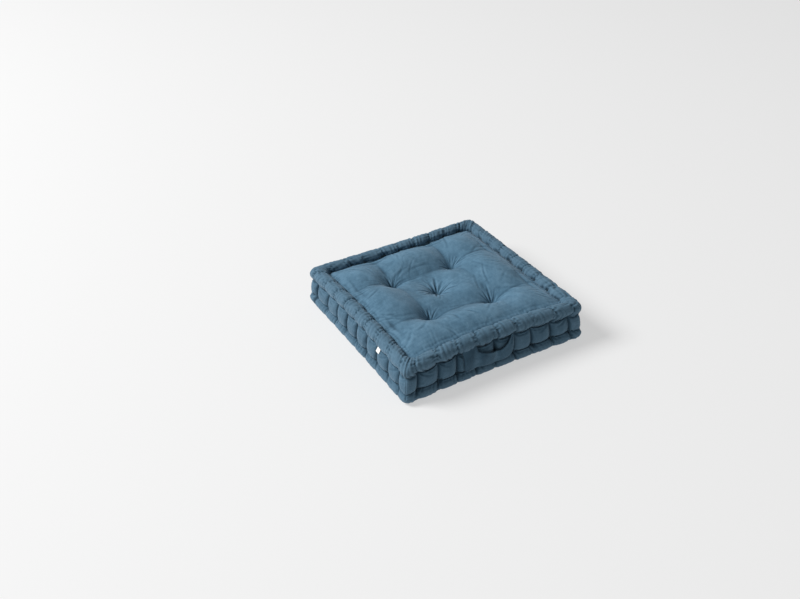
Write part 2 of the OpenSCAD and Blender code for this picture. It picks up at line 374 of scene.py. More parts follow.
def blow_up(cover):
    """Where the cover's points settle: stitches drawn tight, stuffing pressing from inside."""
    rest, target = cover["rest"], cover["target"]
    mesh = bpy.data.meshes.new("cover_rest")
    mesh.from_pydata(rest.tolist(), [], cover["faces"].tolist())
    mesh.update()
    obj = bpy.data.objects.new("cover_rest", mesh)
    scene = bpy.context.scene
    scene.collection.objects.link(obj)
    group(obj, "held", cover["goal"] ** 0.25)  # Cloth takes the fourth power of a pin weight
    low, high = cover["spare"].min(), cover["spare"].max()
    group(obj, "spare", (cover["spare"] - low) / (high - low))
    obj.shape_key_add(name="Basis")
    key = obj.shape_key_add(name="drawn")
    key.data.foreach_set("co", target.ravel())
    for value, at in ((0, 1), (1, DRAWN_BY)):
        key.value = value
        key.keyframe_insert("value", frame=at)
    cloth = obj.modifiers.new("cloth", "CLOTH")
    s = cloth.settings
    s.quality, s.mass, s.air_damping, s.effector_weights.gravity = 4, 0.02, 2, 0
    s.tension_stiffness = s.compression_stiffness = 15
    s.shear_stiffness, s.bending_stiffness = 5, 0.02
    s.use_pressure, s.uniform_pressure_force = True, STUFFING_PRESSURE
    s.vertex_group_mass, s.pin_stiffness = "held", 5
    s.vertex_group_shrink, s.shrink_min, s.shrink_max = "spare", -low, -high
    cloth.collision_settings.use_collision = cloth.collision_settings.use_self_collision = False
    cloth.point_cache.frame_start, cloth.point_cache.frame_end = 1, FRAMES
    scene.frame_start, scene.frame_end = 1, FRAMES
    for at in range(1, FRAMES + 1):
        scene.frame_set(at)
    settled = np.empty(len(rest) * 3)
    obj.evaluated_get(bpy.context.evaluated_depsgraph_get()).data.vertices.foreach_get("co", settled)
    settled = settled.reshape(-1, 3)
    bpy.data.objects.remove(obj)
    bpy.data.meshes.remove(mesh)
    scene.frame_set(1)
    return settled


# ---------------------------------------------------------------- finer surface and small wrinkles
def finer(grid, axis, wrap=False):
    """Twice the points along one axis, on a smooth curve through the given ones."""
    g = np.moveaxis(grid, axis, 0)
    if wrap:
        mids = (9 * (g + np.roll(g, -1, 0)) - np.roll(g, 1, 0) - np.roll(g, -2, 0)) / 16
        made = np.stack([g, mids], 1).reshape(-1, *g.shape[1:])
    else:
        e = np.concatenate([2 * g[:1] - g[1:2], g, 2 * g[-1:] - g[-2:-1]])
        mids = (9 * (e[1:-2] + e[2:-1]) - e[:-3] - e[3:]) / 16
        made = np.empty((2 * len(g) - 1, *g.shape[1:]))
        made[::2], made[1::2] = g, mids
    return np.moveaxis(made, 0, axis)


def slope(grid, axis, wrap=False):
    if wrap:
        return np.roll(grid, -1, axis) - np.roll(grid, 1, axis)
    return np.gradient(grid, axis=axis)


def facing(grid, wrap=False):
    """Unit normals: the row direction crossed with the column direction."""
    n = np.cross(slope(grid, 0), slope(grid, 1, wrap))
    return n / np.maximum(np.linalg.norm(n, axis=-1, keepdims=True), 1e-12)


def blurred(grid, times, wrap=False):
    for _ in range(times):
        for axis in (0, 1):
            if wrap and axis == 1:
                grid = (np.roll(grid, 1, 1) + 2 * grid + np.roll(grid, -1, 1)) / 4
            else:
                e = np.concatenate([grid.take([0], axis), grid, grid.take([-1], axis)], axis)
                m = grid.shape[axis]
                grid = (e.take(range(m), axis) + 2 * grid + e.take(range(2, m + 2), axis)) / 4
    return grid


def waves(rng, along, pitch, total, count=7):
    """Smooth random ripples of about one pitch, which close on themselves over the total length."""
    made = np.zeros(np.shape(along))
    for _ in range(count):
        turns = max(1, round(total / (pitch * rng.uniform(0.7, 1.6))))
        made = made + np.sin(2 * math.pi * turns * along / total + rng.uniform(0, 6.283))
    return made / math.sqrt(count)


def lumps(rng, x, y, size, count=14):
    """Soft random unevenness of about one size."""
    made = np.zeros(np.shape(x))
    for _ in range(count):
        way, k = rng.uniform(0, math.pi), 2 * math.pi / (size * rng.uniform(0.7, 1.5))
        made = made + np.sin(k * (x * math.cos(way) + y * math.sin(way)) + rng.uniform(0, 6.283))
    return made / math.sqrt(count)


def raised(grid, wrap=False, fine=1.0):
    """How far each point stands out of its surroundings: 1 on a fold's ridge, -1 in its valley."""
    n, total = facing(grid, wrap), 0
    for times, size, share in ((6, 0.25 * MM, fine), (30, 1.0 * MM, 1.0)):
        total = total + share * ((grid - blurred(grid, times, wrap)) * n).sum(-1) / size
    return np.tanh(total / 2)


cover = draw_cover()
settled = blow_up(cover)
move = settled - cover["target"]
length = np.linalg.norm(move, axis=1, keepdims=True)
move *= np.minimum(1, MOST_MOVED / np.maximum(length, 1e-9)) * cover["free"][:, None]
x, y = np.moveaxis(cover["target"][cover["it"]][..., :2], -1, 0)
nearest = np.hypot(x[..., None] - TUFTS[:, 0], y[..., None] - TUFTS[:, 1]).min(-1)
from_seam = np.abs(x[:, -1]).max() - np.maximum(np.abs(x), np.abs(y))
by_seam = np.exp(-(np.maximum(from_seam, 0) / (17 * MM)) ** 2)
crisp = np.maximum(np.exp(-(nearest / (34 * MM)) ** 2), by_seam)[..., None]
on_panel = move[cover["it"]]
move[cover["it"]] = between(blurred(on_panel, SMOOTHING), on_panel, crisp)  # tight wrinkles only by tufts and seams
settled = cover["target"] + move
settled[:, 2] = np.maximum(settled[:, 2], 0)
ring = settled[cover["idx"]]  # ROWS x 4N
panel = settled[cover["it"]]  # (N+1) x (N+1), rows run to the back

rng = np.random.default_rng(SEED + 10)
ROUND = 8 * REACH  # the way round the four sides
fine_ring = finer(finer(ring, 1, wrap=True), 0)
run = np.arange(8 * N) * ROUND / (8 * N)
down = np.concatenate([[0], np.cumsum(np.linalg.norm(np.diff(fine_ring, axis=0), axis=-1).mean(1))])
normal = facing(blurred(fine_ring, 3, True), True)
for row in (RTI, RTO, RBO, RBI):  # gathers that fan out of each seam
    away = np.abs(down - down[2 * row])[:, None]
    lean = rng.uniform(-0.6, 0.6)
    ripple = waves(rng, run[None, :] + lean * away, 9 * MM, ROUND)
    ripple = ripple + 0.6 * waves(rng, run[None, :] - lean * away, 5 * MM, ROUND)
    fine_ring = fine_ring + normal * (0.25 * MM * ripple * np.exp(-away / (6 * MM)))[..., None]


def folds(row_a, row_b, centres, spread, count, deep, across=0.0):
    """Sharp folds that cross the ring from one seam row to the next, bunched round the stitches."""
    made, total = np.zeros(fine_ring.shape[:2]), 8 * N
    s = np.linspace(0, 1, 2 * (row_b - row_a) + 1)[:, None]
    step = ROUND / total
    for a, b in centres:
        for k in range(count):
            off = (k - (count - 1) / 2) * spread + rng.uniform(-1.5, 1.5) * MM
            lie = off * (1 + rng.uniform(-0.3, 0.6) * s) + across * (s - 0.5)
            middle = 2 * (a * (1 - s) + b * s) + 1 + lie / step
            first = int(middle.min()) - 8
            cols = np.arange(first, int(middle.max()) + 9)
            d = (cols[None, :] - middle) * step
            tight, fade = rng.uniform(2.0, 3.0) * MM, rng.uniform(0.3, 0.75)
            line = -np.exp(-(d / tight) ** 2) + 0.55 * np.exp(-((np.abs(d) - 2.2 * tight) / (1.1 * tight)) ** 2)
            ends = fade + (1 - fade) * np.abs(np.cos(math.pi * (s + rng.uniform(-0.15, 0.15)))) ** 2
            weak = math.exp(-(off / (2.2 * spread)) ** 2) * rng.uniform(0.6, 1.2)
            made[2 * row_a:2 * row_b + 1, cols % total] += deep * weak * line * ends
    return made


over_roll = cover["pinches"]
on_band = [(b, b) for _, b in over_roll]
under_roll = [(b, a) for a, b in over_roll]
corners = [(i * N, i * N) for i in range(4)]
halfway = [(a + N * PITCH / (4 * REACH) * rng.uniform(0.7, 1.3), b + N * PITCH / (4 * REACH) * rng.uniform(0.5, 1.1))
           for a, b in over_roll]
depth = folds(RTI, RTO, over_roll, 7.5 * MM, 5, 2.4 * MM, across=10 * MM)
depth += folds(RTI, RTO, halfway, 8 * MM, 2, 1.2 * MM, across=13 * MM)
depth += folds(RTI, RTO, corners, 8.5 * MM, 3, 1.3 * MM)
depth += folds(RTO, RBO, on_band, 6 * MM, 3, 0.8 * MM, across=-3 * MM)
depth += folds(RBO, RBI, under_roll, 7.5 * MM, 5, 2.0 * MM, across=6 * MM)
depth = blurred(depth[..., None], 2, True)[..., 0]
fine_ring = fine_ring + normal * depth[..., None]

slant = run[None, :] + 0.7 * down[:, None]
crush = waves(rng, slant, 16 * MM, ROUND) * waves(rng, run[None, :] - 0.35 * down[:, None], 23 * MM, ROUND)
fine_ring = fine_ring + normal * (0.16 * MM * crush)[..., None]
fine_ring[..., 2] = np.maximum(fine_ring[..., 2], 0)

fine_panel = finer(finer(panel, 1), 0)
edge = grid_from_border(fine_ring[0])
fine_panel[0], fine_panel[-1], fine_panel[:, 0], fine_panel[:, -1] = edge[0], edge[-1], edge[:, 0], edge[:, -1]
x, y = fine_panel[..., 0], fine_panel[..., 1]
normal = -facing(blurred(fine_panel, 3))
hem = np.exp(-inset_from(x, y) / (9 * MM))
ends_near = np.abs(y) > np.abs(x)  # nearer to the front or back seam than to the side ones
ripple = waves(rng, x, 9 * MM, ROUND) * ends_near + waves(rng, y, 9 * MM, ROUND) * ~ends_near
bump = 0.3 * MM * ripple * hem + 0.30 * MM * lumps(rng, x, y, 34 * MM) + 0.09 * MM * lumps(rng, x, y, 13 * MM)
for n, tuft in enumerate(TUFTS):  # fine puckers round each tuft
    d, way = polar(x, y, tuft)
    fan = sum(np.sin(k * way + rng.uniform(0, 6.283)) for k in (13, 17, 22)) / 1.7
    bump = bump + 0.4 * MM * fan * np.exp(-((d - 13 * MM) / (10 * MM)) ** 2)
    for k in range(8 if n else 15):  # crisp creases between them
        a, bend = rng.uniform(0, 2 * math.pi), rng.uniform(-0.3, 0.3)
        side, along, ahead = spoke(d, way - a - bend * d / (40 * MM))
        reach = (rng.uniform(22, 42) if n else rng.uniform(30, 58)) * MM
        fade = np.clip(1 - along / reach, 0, 1) ** 0.7 * ahead
        fade = fade * np.clip((along - 5 * MM) / (6 * MM), 0, 1)
        line = furrow(side, rng.uniform(1.2, 1.9) * MM, 0.4)
        bump = bump - rng.uniform(1.0, 2.0) * MM * line * fade
for inner_c, _ in cover["pinches"]:  # short folds that run in from each stitch of the inner seam
    px, py = ring[RTI, inner_c % (4 * N), :2]
    inward_way = math.atan2(-py, 0) if abs(py) > abs(px) else math.atan2(0, -px)
    d, way = polar(x, y, (px, py))
    for k in range(2):
        a = inward_way + (k - 0.5) * 0.6 + rng.uniform(-0.2, 0.2)
        side, along, ahead = spoke(d, way - a)
        fade = np.clip(1 - along / (rng.uniform(12, 26) * MM), 0, 1) * ahead
        fade = fade * np.clip(along / (3 * MM), 0, 1)
        bump = bump - 0.35 * MM * np.exp(-(side / (1.9 * MM)) ** 2) * fade
for _ in range(70):  # long soft wrinkles that point to the nearest tuft
    px, py = rng.uniform(-185, 185, 2) * MM
    tx, ty = TUFTS[np.hypot(px - TUFTS[:, 0], py - TUFTS[:, 1]).argmin()]
    a = math.atan2(ty - py, tx - px) + rng.uniform(-0.45, 0.45)
    along = (x - px) * math.cos(a) + (y - py) * math.sin(a)
    side = (y - py) * math.cos(a) - (x - px) * math.sin(a)
    reach, wide = rng.uniform(14, 34) * MM, rng.uniform(1.8, 3.2) * MM
    side = side - rng.uniform(-4, 4) * MM * (along / reach) ** 2
    bump = bump - rng.uniform(0.2, 0.6) * MM * furrow(side, wide, 0.5) * np.exp(-(along / reach) ** 2)
bump[0] = bump[-1] = bump[:, 0] = bump[:, -1] = 0
fine_panel = fine_panel + normal * bump[..., None]

# the base panel lies flat on the floor, with a shallow hollow where each tuft is tied
base_panel = grid_from_border(ring[RBI])
x, y = base_panel[..., 0], base_panel[..., 1]
z = base_panel[..., 2] * np.exp(-inset_from(x, y) / (6 * MM))
for tuft in TUFTS:
    d, way = polar(x, y, tuft)
    fan = sum(np.sin(k * way + rng.uniform(0, 6.283)) for k in (7, 10, 13)) / 1.7
    z = np.maximum(z, (BASE_TUFT_Z * np.exp(-(d / (13 * MM)) ** 1.3) - 0.35 * MM) * (1 + 0.16 * fan))
z[1:-1, 1:-1] += 0.12 * MM * (1 + lumps(rng, x, y, 26 * MM))[1:-1, 1:-1] * np.exp(-z[1:-1, 1:-1] / (3 * MM))
base_panel[..., 2] = np.maximum(z, 0)


# ---------------------------------------------------------------- meshes
def mesh_object(name, points, faces, uv=None, shade_and_wear=None):
    """A mesh from points and faces (arrays of equal-length faces, one array for each length)."""
    mesh = bpy.data.meshes.new(name)
    loops = np.concatenate([f.ravel() for f in faces]).astype(np.int32)
    sizes = np.concatenate([np.full(len(f), f.shape[1]) for f in faces])
    mesh.vertices.add(len(points))
    mesh.vertices.foreach_set("co", np.asarray(points, np.float32).ravel())
    mesh.loops.add(len(loops))
    mesh.loops.foreach_set("vertex_index", loops)
    mesh.polygons.add(len(sizes))
    mesh.polygons.foreach_set("loop_start", np.concatenate([[0], np.cumsum(sizes)[:-1]]).astype(np.int32))
    mesh.polygons.foreach_set("use_smooth", np.full(len(sizes), True))
    mesh.update(calc_edges=True)
    if uv is not None:
        mesh.uv_layers.new(name="metres").data.foreach_set("uv", np.asarray(uv, np.float32)[loops].ravel())
    if shade_and_wear is not None:
        mesh.attributes.new("shade_and_wear", "FLOAT", "POINT").data.foreach_set("value", np.asarray(shade_and_wear, np.float32).ravel())
    mesh.validate()
    obj = bpy.data.objects.new(name, mesh)
    bpy.context.scene.collection.objects.link(obj)
    return obj


def quads(index):
    return np.stack([index[:-1, :-1], index[1:, :-1], index[1:, 1:], index[:-1, 1:]], -1).reshape(-1, 4)


def shell(name, grid, uv, shade_and_wear, thick=CLOTH):
    """A sheet of cloth: the fine grid outside, every second point of it one thickness inside, and a rim."""
    coarse = grid[::2, ::2] - facing(blurred(grid, 2))[::2, ::2] * thick
    coarse[..., 2] = np.maximum(coarse[..., 2], 0.2 * MM)
    a = np.arange(grid.shape[0] * grid.shape[1]).reshape(grid.shape[:2])
    b = a.size + np.arange(coarse.shape[0] * coarse.shape[1]).reshape(coarse.shape[:2])
    rim = []
    for fa, fb in ((a[0], b[0]), (a[-1, ::-1], b[-1, ::-1]), (a[::-1, 0], b[::-1, 0]), (a[:, -1], b[:, -1])):
        rim.append(np.stack([fa[:-2:2], fa[1::2], fa[2::2], fb[1:], fb[:-1]], -1))
    points = np.concatenate([grid.reshape(-1, 3), coarse.reshape(-1, 3)])
    uvs = np.concatenate([uv.reshape(-1, 2), uv[::2, ::2].reshape(-1, 2)])
    shades_and_wear = np.concatenate([shade_and_wear.ravel(), shade_and_wear[::2, ::2].ravel()])
    return mesh_object(name, points, [quads(a), quads(b)[:, ::-1], np.concatenate(rim)], uvs, shades_and_wear)


def dress(piece, mat, cad_node, body="cushion"):
    """Gives a piece its material and the body it rides on, and hides the CAD part it stands for."""
    piece.data.materials.append(mat)
    if body:
        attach(piece, body)
    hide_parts(cad_node)


def cover_piece(piece, cad_node, width, length, cloth):
    dress(piece, cloth, cad_node)


# ---------------------------------------------------------------- materials
def material(name, colour, rough, sheen=0.0, tint=(1, 1, 1)):
    mat = bpy.data.materials.new(name)
    mat.use_nodes = True
    bsdf = mat.node_tree.nodes["Principled BSDF"]
    bsdf.inputs["Base Color"].default_value = (*colour, 1)
    bsdf.inputs["Roughness"].default_value = rough
    bsdf.inputs["Specular IOR Level"].default_value = 0.12
    bsdf.inputs["Sheen Weight"].default_value = sheen
    bsdf.inputs["Sheen Roughness"].default_value = 0.45
    bsdf.inputs["Sheen Tint"].default_value = (*tint, 1)
    return mat, mat.node_tree, bsdf


def node(tree, kind, **settings):
    made = tree.nodes.new(kind)
    for key, value in settings.items():
        if key.startswith("in_"):
            made.inputs[int(key[3:])].default_value = value
        else:
            setattr(made, key, value)
    return made


def at(tree, kind):
    return node(tree, "ShaderNodeTexCoord").outputs[kind]


def mixed(tree, a, share_a, b, share_b):
    return maths(tree, "ADD", maths(tree, "MULTIPLY", a, share_a), maths(tree, "MULTIPLY", b, share_b))


def maths(tree, operation, a, b=None, c=None):
    made = node(tree, "ShaderNodeMath", operation=operation)
    for place, value in enumerate((a, b, c)):
        if value is None:
            continue
        if isinstance(value, (int, float)):
            made.inputs[place].default_value = value
        else:
            tree.links.new(value, made.inputs[place])
    return made.outputs[0]


def noise(tree, vector, scale, detail=3.0, rough=0.55, stretch=None):
    if stretch is not None:
        scaled = node(tree, "ShaderNodeVectorMath", operation="MULTIPLY", in_1=stretch)
        tree.links.new(vector, scaled.inputs[0])
        vector = scaled.outputs[0]
    made = node(tree, "ShaderNodeTexNoise")
    made.inputs["Scale"].default_value = scale
    made.inputs["Detail"].default_value = detail
    made.inputs["Roughness"].default_value = rough
    tree.links.new(vector, made.inputs["Vector"])
    return made.outputs["Fac"]


def ramp(tree, value, stops):
    made = node(tree, "ShaderNodeValToRGB")
    while len(made.color_ramp.elements) < len(stops):
        made.color_ramp.elements.new(0.5)
    for element, (at, colour) in zip(made.color_ramp.elements, stops):
        element.position, element.color = at, (*colour, 1)
    tree.links.new(value, made.inputs[0])
    return made.outputs[0]


def bumped(tree, bsdf, layers):
    """Bump from several heights, each (height, distance in metres, strength)."""
    last = None
    for height, distance, strength in layers:
        made = node(tree, "ShaderNodeBump")
        made.inputs["Strength"].default_value = strength
        made.inputs["Distance"].default_value = distance
        tree.links.new(height, made.inputs["Height"])
        if last is not None:
            tree.links.new(last, made.inputs["Normal"])
        last = made.outputs[0]
    tree.links.new(last, bsdf.inputs["Normal"])


def woven(tree, uv, thread):
    """Plain weave of uneven threads: 0 between threads, 1 on a thread's crown."""
    split = node(tree, "ShaderNodeSeparateXYZ")
    tree.links.new(uv, split.inputs[0])
    wander = noise(tree, uv, 260.0, 2.0)
    waves_ = []
    for out_ in (split.outputs[0], split.outputs[1]):
        turn = maths(tree, "MULTIPLY", out_, 2 * math.pi / thread)
        turn = maths(tree, "ADD", turn, maths(tree, "MULTIPLY", wander, 5.0))
        waves_.append(maths(tree, "SINE", turn))
    return maths(tree, "MULTIPLY_ADD", maths(tree, "MULTIPLY", *waves_), 0.5, 0.5)


def cloth_material(name, dark, mid, light, thread, rough=0.88, sheen=0.24, tint=(0.66, 0.84, 1.0)):
    """Washed woven cotton: slubby plain weave, uneven dye, valleys darker as painted shade and ridges paler as
    rubbed wear and painted light.
    """
    mat, tree, bsdf = material(name, mid, rough, sheen, tint)
    uv = at(tree, "UV")
    place = at(tree, "Object")
    shade_and_wear = node(tree, "ShaderNodeAttribute", attribute_name="shade_and_wear").outputs["Fac"]
    weave = woven(tree, uv, thread)
    slub_a = noise(tree, uv, 1.0, 2.0, 0.5, (70, 900, 1))
    slub_b = noise(tree, uv, 1.0, 2.0, 0.5, (900, 70, 1))
    cloud = noise(tree, place, 7.0, 3.0, 0.6)
    mottle = noise(tree, place, 55.0, 4.0, 0.65)
    # painted shade and light: the fold measure darkens valleys and lightens ridges, partly as rubbed wear
    tone = maths(tree, "MULTIPLY_ADD", shade_and_wear, 0.26, 0.5)
    for part, share in ((cloud, 0.30), (mottle, 0.26), (slub_a, 0.22), (slub_b, 0.22), (weave, 0.10)):
        tone = maths(tree, "ADD", tone, maths(tree, "MULTIPLY", maths(tree, "SUBTRACT", part, 0.5), share))
    tree.links.new(ramp(tree, tone, ((0.15, dark), (0.5, mid), (0.88, light))), bsdf.inputs["Base Color"])
    tree.links.new(maths(tree, "MULTIPLY_ADD", mottle, 0.16, rough - 0.08), bsdf.inputs["Roughness"])
    crinkle = noise(tree, place, 210.0, 4.0, 0.6)
    soft = noise(tree, place, 60.0, 2.0, 0.5)
    bumped(tree, bsdf, ((soft, 1.2 * MM, 0.35), (crinkle, 0.5 * MM, 0.4), (slub_a, 0.2 * MM, 0.5),
                        (slub_b, 0.2 * MM, 0.5), (weave, 0.16 * MM, 0.6)))
    return mat


WEAVE = 0.9 * MM  # from thread to thread
WASHED = (1.16, 1.04, 1.0)  # the petrol blue has greyed a little
DARK, MID, LIGHT = (np.array(c) * WASHED
                    for c in ((0.018, 0.052, 0.088), (0.055, 0.130, 0.200), (0.107, 0.215, 0.312)))
# one dyed cloth in copies of different brightness: the panels' copy is lightened as painted light on the top and the
# rolls' copy darkened as painted shade in the gathers
cover_cloth = cloth_material("cover_cloth", DARK * 0.76, MID * 0.80, LIGHT * 0.88, WEAVE)
lit_panel_cloth = cloth_material("lit_panel_cloth", DARK * 0.95, MID * 1.16, LIGHT * 1.32, WEAVE)
shaded_roll_cloth = cloth_material("shaded_roll_cloth", DARK * 0.66, MID * 0.72, LIGHT * 0.86, WEAVE)
strap_cloth = cloth_material("strap_cloth", DARK * 0.85, MID * 0.84, LIGHT * 0.84, WEAVE)


def twine_material(name, dark, light, twist):
    mat, tree, bsdf = material(name, light, 0.75, 0.2)
    place = at(tree, "Object")
    split = node(tree, "ShaderNodeSeparateXYZ")
    tree.links.new(place, split.inputs[0])
    lay = maths(tree, "ADD", maths(tree, "ADD", split.outputs[0], split.outputs[1]), split.outputs[2])
    lay = maths(tree, "SINE", maths(tree, "MULTIPLY", lay, 2 * math.pi / twist))
    fuzz = noise(tree, place, 900.0, 3.0, 0.6)
    tone = maths(tree, "ADD", maths(tree, "MULTIPLY_ADD", lay, 0.22, 0.3), maths(tree, "MULTIPLY", fuzz, 0.4))
    tree.links.new(ramp(tree, tone, ((0.2, dark), (0.8, light))), bsdf.inputs["Base Color"])
    bumped(tree, bsdf, ((lay, 0.25 * MM, 0.7), (fuzz, 0.1 * MM, 0.5)))
    return mat


twine = twine_material("tufting_twine", (0.030, 0.066, 0.098), (0.085, 0.160, 0.222), 1.6 * MM)
thread = twine_material("sewing_thread", (0.036, 0.078, 0.114), (0.100, 0.185, 0.255), 0.9 * MM)


def stuffing_material():
    mat, tree, bsdf = material("filling", (0.80, 0.76, 0.68), 0.95, 0.5)
    place = at(tree, "Object")
    tufty, fine = noise(tree, place, 60.0, 5.0, 0.7), noise(tree, place, 420.0, 4.0, 0.7)
    tone = mixed(tree, tufty, 0.7, fine, 0.3)
    colour = ramp(tree, tone, ((0.3, (0.60, 0.55, 0.46)), (0.7, (0.86, 0.83, 0.76))))
    tree.links.new(colour, bsdf.inputs["Base Color"])
    bumped(tree, bsdf, ((tufty, 3 * MM, 0.6), (fine, 0.5 * MM, 0.6)))
    return mat


filling = stuffing_material()


def label_material():
    mat, tree, bsdf = material("label_cloth", (0.86, 0.86, 0.84), 0.7, 0.15)
    uv = at(tree, "UV")
    weave = woven(tree, uv, 0.45 * MM)
    grime = noise(tree, uv, 160.0, 3.0, 0.6)
    tone = mixed(tree, weave, 0.35, grime, 0.65)
    colour = ramp(tree, tone, ((0.2, (0.70, 0.70, 0.68)), (0.75, (0.90, 0.90, 0.88))))
    tree.links.new(colour, bsdf.inputs["Base Color"])
    bumped(tree, bsdf, ((weave, 0.1 * MM, 0.6), (grime, 0.2 * MM, 0.3)))
    return mat


label_cloth = label_material()

# ---------------------------------------------------------------- the cover's pieces
# how far the cloth stands out at each point, for the painted shade in its valleys and the rubbed wear and painted
# light on its ridges
ring_shade_and_wear, panel_shade_and_wear = raised(fine_ring, True, 0.35), -raised(fine_panel, False, 0.6)
uv_ring = np.stack(np.meshgrid(run, down), -1)
uv_panel = fine_panel[..., :2].copy()
# the cloth as cut, in metres
TOP_STRIP, BASE_STRIP, BAND_STRIP = (0.46, 0.080), (0.46, 0.064), (0.46, 0.050)
TOP_SQUARE, BASE_SQUARE = (0.42, 0.42), (0.41, 0.41)
for i, side in enumerate(SIDES):
    cols = np.arange(2 * i * N, 2 * (i + 1) * N + 1)
    uv = uv_ring[:, cols % (8 * N)].copy()
    uv[:, -1, 0] = (i + 1) * ROUND / 4
    for part, first, last, size, cloth in (("top_roll", RTI, RTO, TOP_STRIP, shaded_roll_cloth),
                                           ("side_band", RTO, RBO, BAND_STRIP, cover_cloth),
                                           ("base_roll", RBO, RBI, BASE_STRIP, shaded_roll_cloth)):
        rows = slice(2 * first, 2 * last + 1)
        piece = shell(f"cover_{part}_{side}", fine_ring[rows][:, cols % (8 * N)], uv[rows],
                      ring_shade_and_wear[rows][:, cols % (8 * N)])
        cover_piece(piece, f"{part}_{side}", *size, cloth)
top = shell("cover_top_panel", fine_panel.transpose(1, 0, 2), uv_panel.transpose(1, 0, 2), panel_shade_and_wear.T)
cover_piece(top, "top_panel", *TOP_SQUARE, lit_panel_cloth)
# painted shade: the base panel darker where it is drawn up into each tuft's hollow
base_hollow_shade = np.clip(-base_panel[..., 2] / (12 * MM), -1, 0)
base = shell("cover_base_panel", base_panel, base_panel[..., :2], base_hollow_shade)
cover_piece(base, "base_panel", *BASE_SQUARE, lit_panel_cloth)


# ---------------------------------------------------------------- stuffing
ROLL_FILLING = 0.62  # a roll's wadding against the sleeve round it


def stuffed(name, cad_node, points, faces):
    piece = mesh_object(name, points, faces)
    dress(piece, filling, cad_node)


def tube_faces(index):
    """Faces between closed rings of points, capped at both ends."""
    nxt = np.roll(index, -1, 1)
    walls = np.stack([index[:-1], index[1:], nxt[1:], nxt[:-1]], -1).reshape(-1, 4)
    return [walls, index[:1], index[-1:, ::-1]]


for i, side in enumerate(SIDES):
    cols = np.arange(i * N + 3, (i + 1) * N - 2, 3)
    for part, rows in (("top_roll", slice(RTI, RTO + 1, 2)), ("base_roll", slice(RBO, RBI + 1, 2))):
        cross = ring[rows][:, cols].transpose(1, 0, 2)
        middle = cross.mean(1, keepdims=True)
        cross = middle + (cross - middle) * ROLL_FILLING
        index = np.arange(cross.shape[0] * cross.shape[1]).reshape(cross.shape[:2])
        stuffed(f"stuffing_{part}_{side}", f"{part}_filling_{side}", cross.reshape(-1, 3), tube_faces(index))

STEP = 4  # the core is this much coarser than the cover
inward = facing(blurred(ring, 4, True), True)
levels = ring - inward * 5 * MM
levels[RTO:RBO + 1] -= 13 * MM * cover["out"]
levels[RTI] = ring[RTI] - (0, 0, 13 * MM) - 4 * MM * cover["out"]
levels[RBI] = ring[RBI] + (0, 0, 3 * MM) - 4 * MM * cover["out"]
loops = levels[[RTI, RTO, RTO + 5, RTO + 9, RTO + 13, RBO, RBI]][:, ::STEP]
small = N // STEP
lowest = panel.copy()
for axis in (0, 1):  # the lowest height thereabouts, so that the filling stays clear of the valleys
    for shift in (1, 1, 2, -1, -1, -2):
        lowest[..., 2] = np.minimum(lowest[..., 2], np.roll(lowest[..., 2], shift, axis))
upper, lower = lowest[::STEP, ::STEP] - (0, 0, 6 * MM), base_panel[::STEP, ::STEP] + (0, 0, 4 * MM)
index = np.arange(loops.shape[0] * loops.shape[1]).reshape(loops.shape[:2])
points, faces = [loops.reshape(-1, 3)], []
nxt = np.roll(index, -1, 1)
faces.append(np.stack([index[:-1], index[1:], nxt[1:], nxt[:-1]], -1).reshape(-1, 4))
for surface, border, flip in ((upper, index[0], False), (lower, index[-1], True)):
    square = border_index(small)
    square[:] = np.where(square >= 0, border[np.maximum(square, 0)], square)
    square[1:-1, 1:-1] = sum(len(p) for p in points) + np.arange((small - 1) ** 2).reshape(small - 1, small - 1)
    points.append(surface[1:-1, 1:-1].reshape(-1, 3))
    made = quads(square)
    faces.append(made if flip else made[:, ::-1])
stuffed("stuffing_core", "core_filling", np.concatenate(points), faces)


# ---------------------------------------------------------------- twine and thread
def tube(path, radius, sides=8):
    """(points, quads) of a capped tube along a path."""
    path = np.asarray(path, float)
    ahead = np.gradient(path, axis=0)
    ahead /= np.linalg.norm(ahead, axis=1, keepdims=True)
    helper = np.array((0.3, 0.5, 0.81)) if abs(ahead[0, 2]) < 0.8 else np.array((0.9, 0.4, 0.1))
    a = np.cross(ahead, helper)
    a /= np.linalg.norm(a, axis=1, keepdims=True)
    b = np.cross(ahead, a)
    t = np.arange(sides) * 2 * math.pi / sides
    size = radius * np.sin(np.linspace(0.35, math.pi - 0.35, len(path))) ** 0.4
    spokes = np.cos(t)[None, :, None] * a[:, None] + np.sin(t)[None, :, None] * b[:, None]
    rings = path[:, None] + size[:, None, None] * spokes
    index = np.arange(len(path) * sides).reshape(len(path), sides)
    return rings.reshape(-1, 3), index


def many_tubes(name, paths, radius, sides=8):
    points, walls, caps, base_at = [], [], [], 0
    for path in paths:
        made, index = tube(path, radius, sides)
        wall, start, end = tube_faces(index + base_at)
        points.append(made)
        walls.append(wall)
        caps += [start, end]
        base_at += len(made)
    return mesh_object(name, np.concatenate(points), [np.concatenate(walls), np.concatenate(caps)])


def arc_through(a, b, c, count=7):
    t = np.linspace(0, 1, count)[:, None]
    return a * (1 - t) ** 2 + (2 * b - (a + c) / 2) * 2 * t * (1 - t) + c * t ** 2


def panel_near(cc, steps):
    """The panel point that lies some steps in from ring column cc."""
    i, c = (cc // N) % 4, cc % N
    return (panel[steps, c], panel[c, N - steps], panel[N - steps, N - c], panel[N - c, steps])[i]


